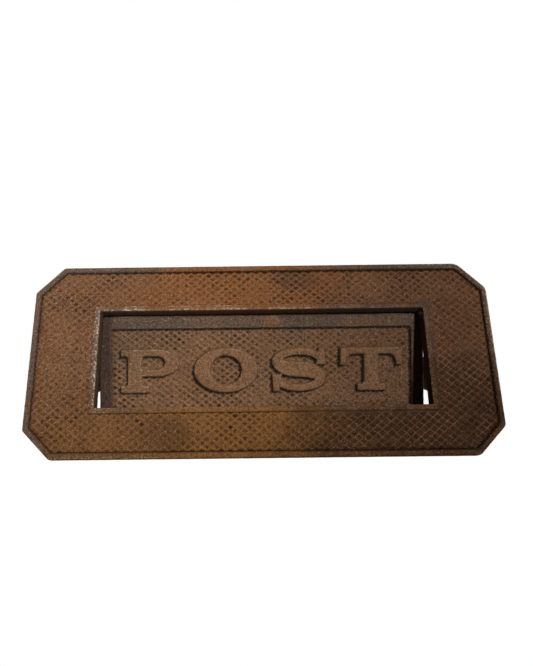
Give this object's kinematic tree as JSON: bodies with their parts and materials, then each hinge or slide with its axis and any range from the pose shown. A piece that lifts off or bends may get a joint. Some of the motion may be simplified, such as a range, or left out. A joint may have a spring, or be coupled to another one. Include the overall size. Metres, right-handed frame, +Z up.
{
  "type": "letter plate",
  "caption": "Cast-iron letter plate with cut corners, a beaded letter opening and a lettered flap that hangs behind it and swings inwards.",
  "frame": {"origin": "centre of the letter opening, in the plane where the back of the plate seats on the door", "axes": "+X to the right seen from the street, +Y into the door, +Z up; the decorated face looks along -Y"},
  "size_m": [0.26, 0.065, 0.11],
  "materials": {
    "plate_iron": "bare casting with an even brown rust patina, a fine diamond lattice and worn beads",
    "flap_iron": "bare casting with a brown rust patina, a diamond lattice field and smooth borders and letters",
    "pin_steel": "dark oxidised wrought rod, rubbed brighter where it turns",
    "washer_steel": "brown oxidised sheet and wire",
    "stud_steel": "threaded steel, tarnished with light rust",
    "nut_steel": "forged square nut, oxidised"
  },
  "bodies": {
    "plate": {"front_plate": "plate_iron", "hinge_pin": "pin_steel", "hinge_washer_left": "washer_steel", "hinge_washer_right": "washer_steel", "hinge_washer_end": "washer_steel", "split_pin": "washer_steel", "fixing_stud_left": "stud_steel", "fixing_stud_right": "stud_steel", "fixing_washer_left": "washer_steel", "fixing_washer_right": "washer_steel", "fixing_nut_left": "nut_steel", "fixing_nut_right": "nut_steel"},
    "flap": {"flap": "flap_iron"}
  },
  "joints": [
    {"name": "flap_hinge", "type": "hinge", "parent": "plate", "child": "flap", "pos_m": [0, 0.0058, 0.0348], "axis": [1, 0, 0], "range_deg": [-16.3, 62]}
  ]
}
